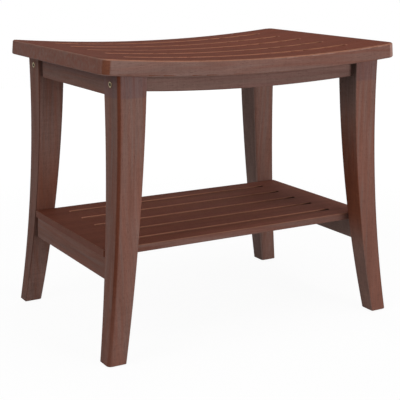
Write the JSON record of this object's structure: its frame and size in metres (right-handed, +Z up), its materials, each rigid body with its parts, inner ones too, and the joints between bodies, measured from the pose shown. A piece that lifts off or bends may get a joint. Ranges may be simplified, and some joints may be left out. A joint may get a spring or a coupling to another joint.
{
  "type": "shower bench",
  "caption": "Low wooden shower bench with a dished, slotted seat, splayed sabre legs and a slotted storage shelf between its end frames.",
  "frame": {"origin": "on the floor under the middle of the bench", "axes": "+X along the bench to its right end, +Y to its rear, +Z up"},
  "size_m": [0.5318, 0.376, 0.4611],
  "materials": {
    "seat_wood": "reddish-brown stain under a satin oil",
    "shelf_wood": "reddish-brown stain under a satin oil",
    "frame_wood": "reddish-brown stain under a satin oil",
    "dowel_wood": "bare hardwood",
    "bolt_brass": "dull brass plating",
    "hardware_steel": "zinc plated",
    "glide_plastic": "matt black"
  },
  "bodies": {
    "root": {"seat_panel": "seat_wood", "shelf_panel": "shelf_wood", "leg_front_left": "frame_wood", "leg_front_right": "frame_wood", "leg_rear_left": "frame_wood", "leg_rear_right": "frame_wood", "front_apron": "frame_wood", "rear_apron": "frame_wood", "upper_rail_left": "frame_wood", "upper_rail_right": "frame_wood", "lower_rail_left": "frame_wood", "lower_rail_right": "frame_wood", "foot_glide_front_left": "glide_plastic", "foot_glide_front_right": "glide_plastic", "foot_glide_rear_left": "glide_plastic", "foot_glide_rear_right": "glide_plastic", "apron_bolts": "bolt_brass", "barrel_nuts": "hardware_steel", "seat_screws": "hardware_steel", "shelf_screws": "hardware_steel", "glide_nails": "hardware_steel", "upper_rail_dowels": "dowel_wood", "lower_rail_dowels": "dowel_wood"}
  },
  "joints": []
}
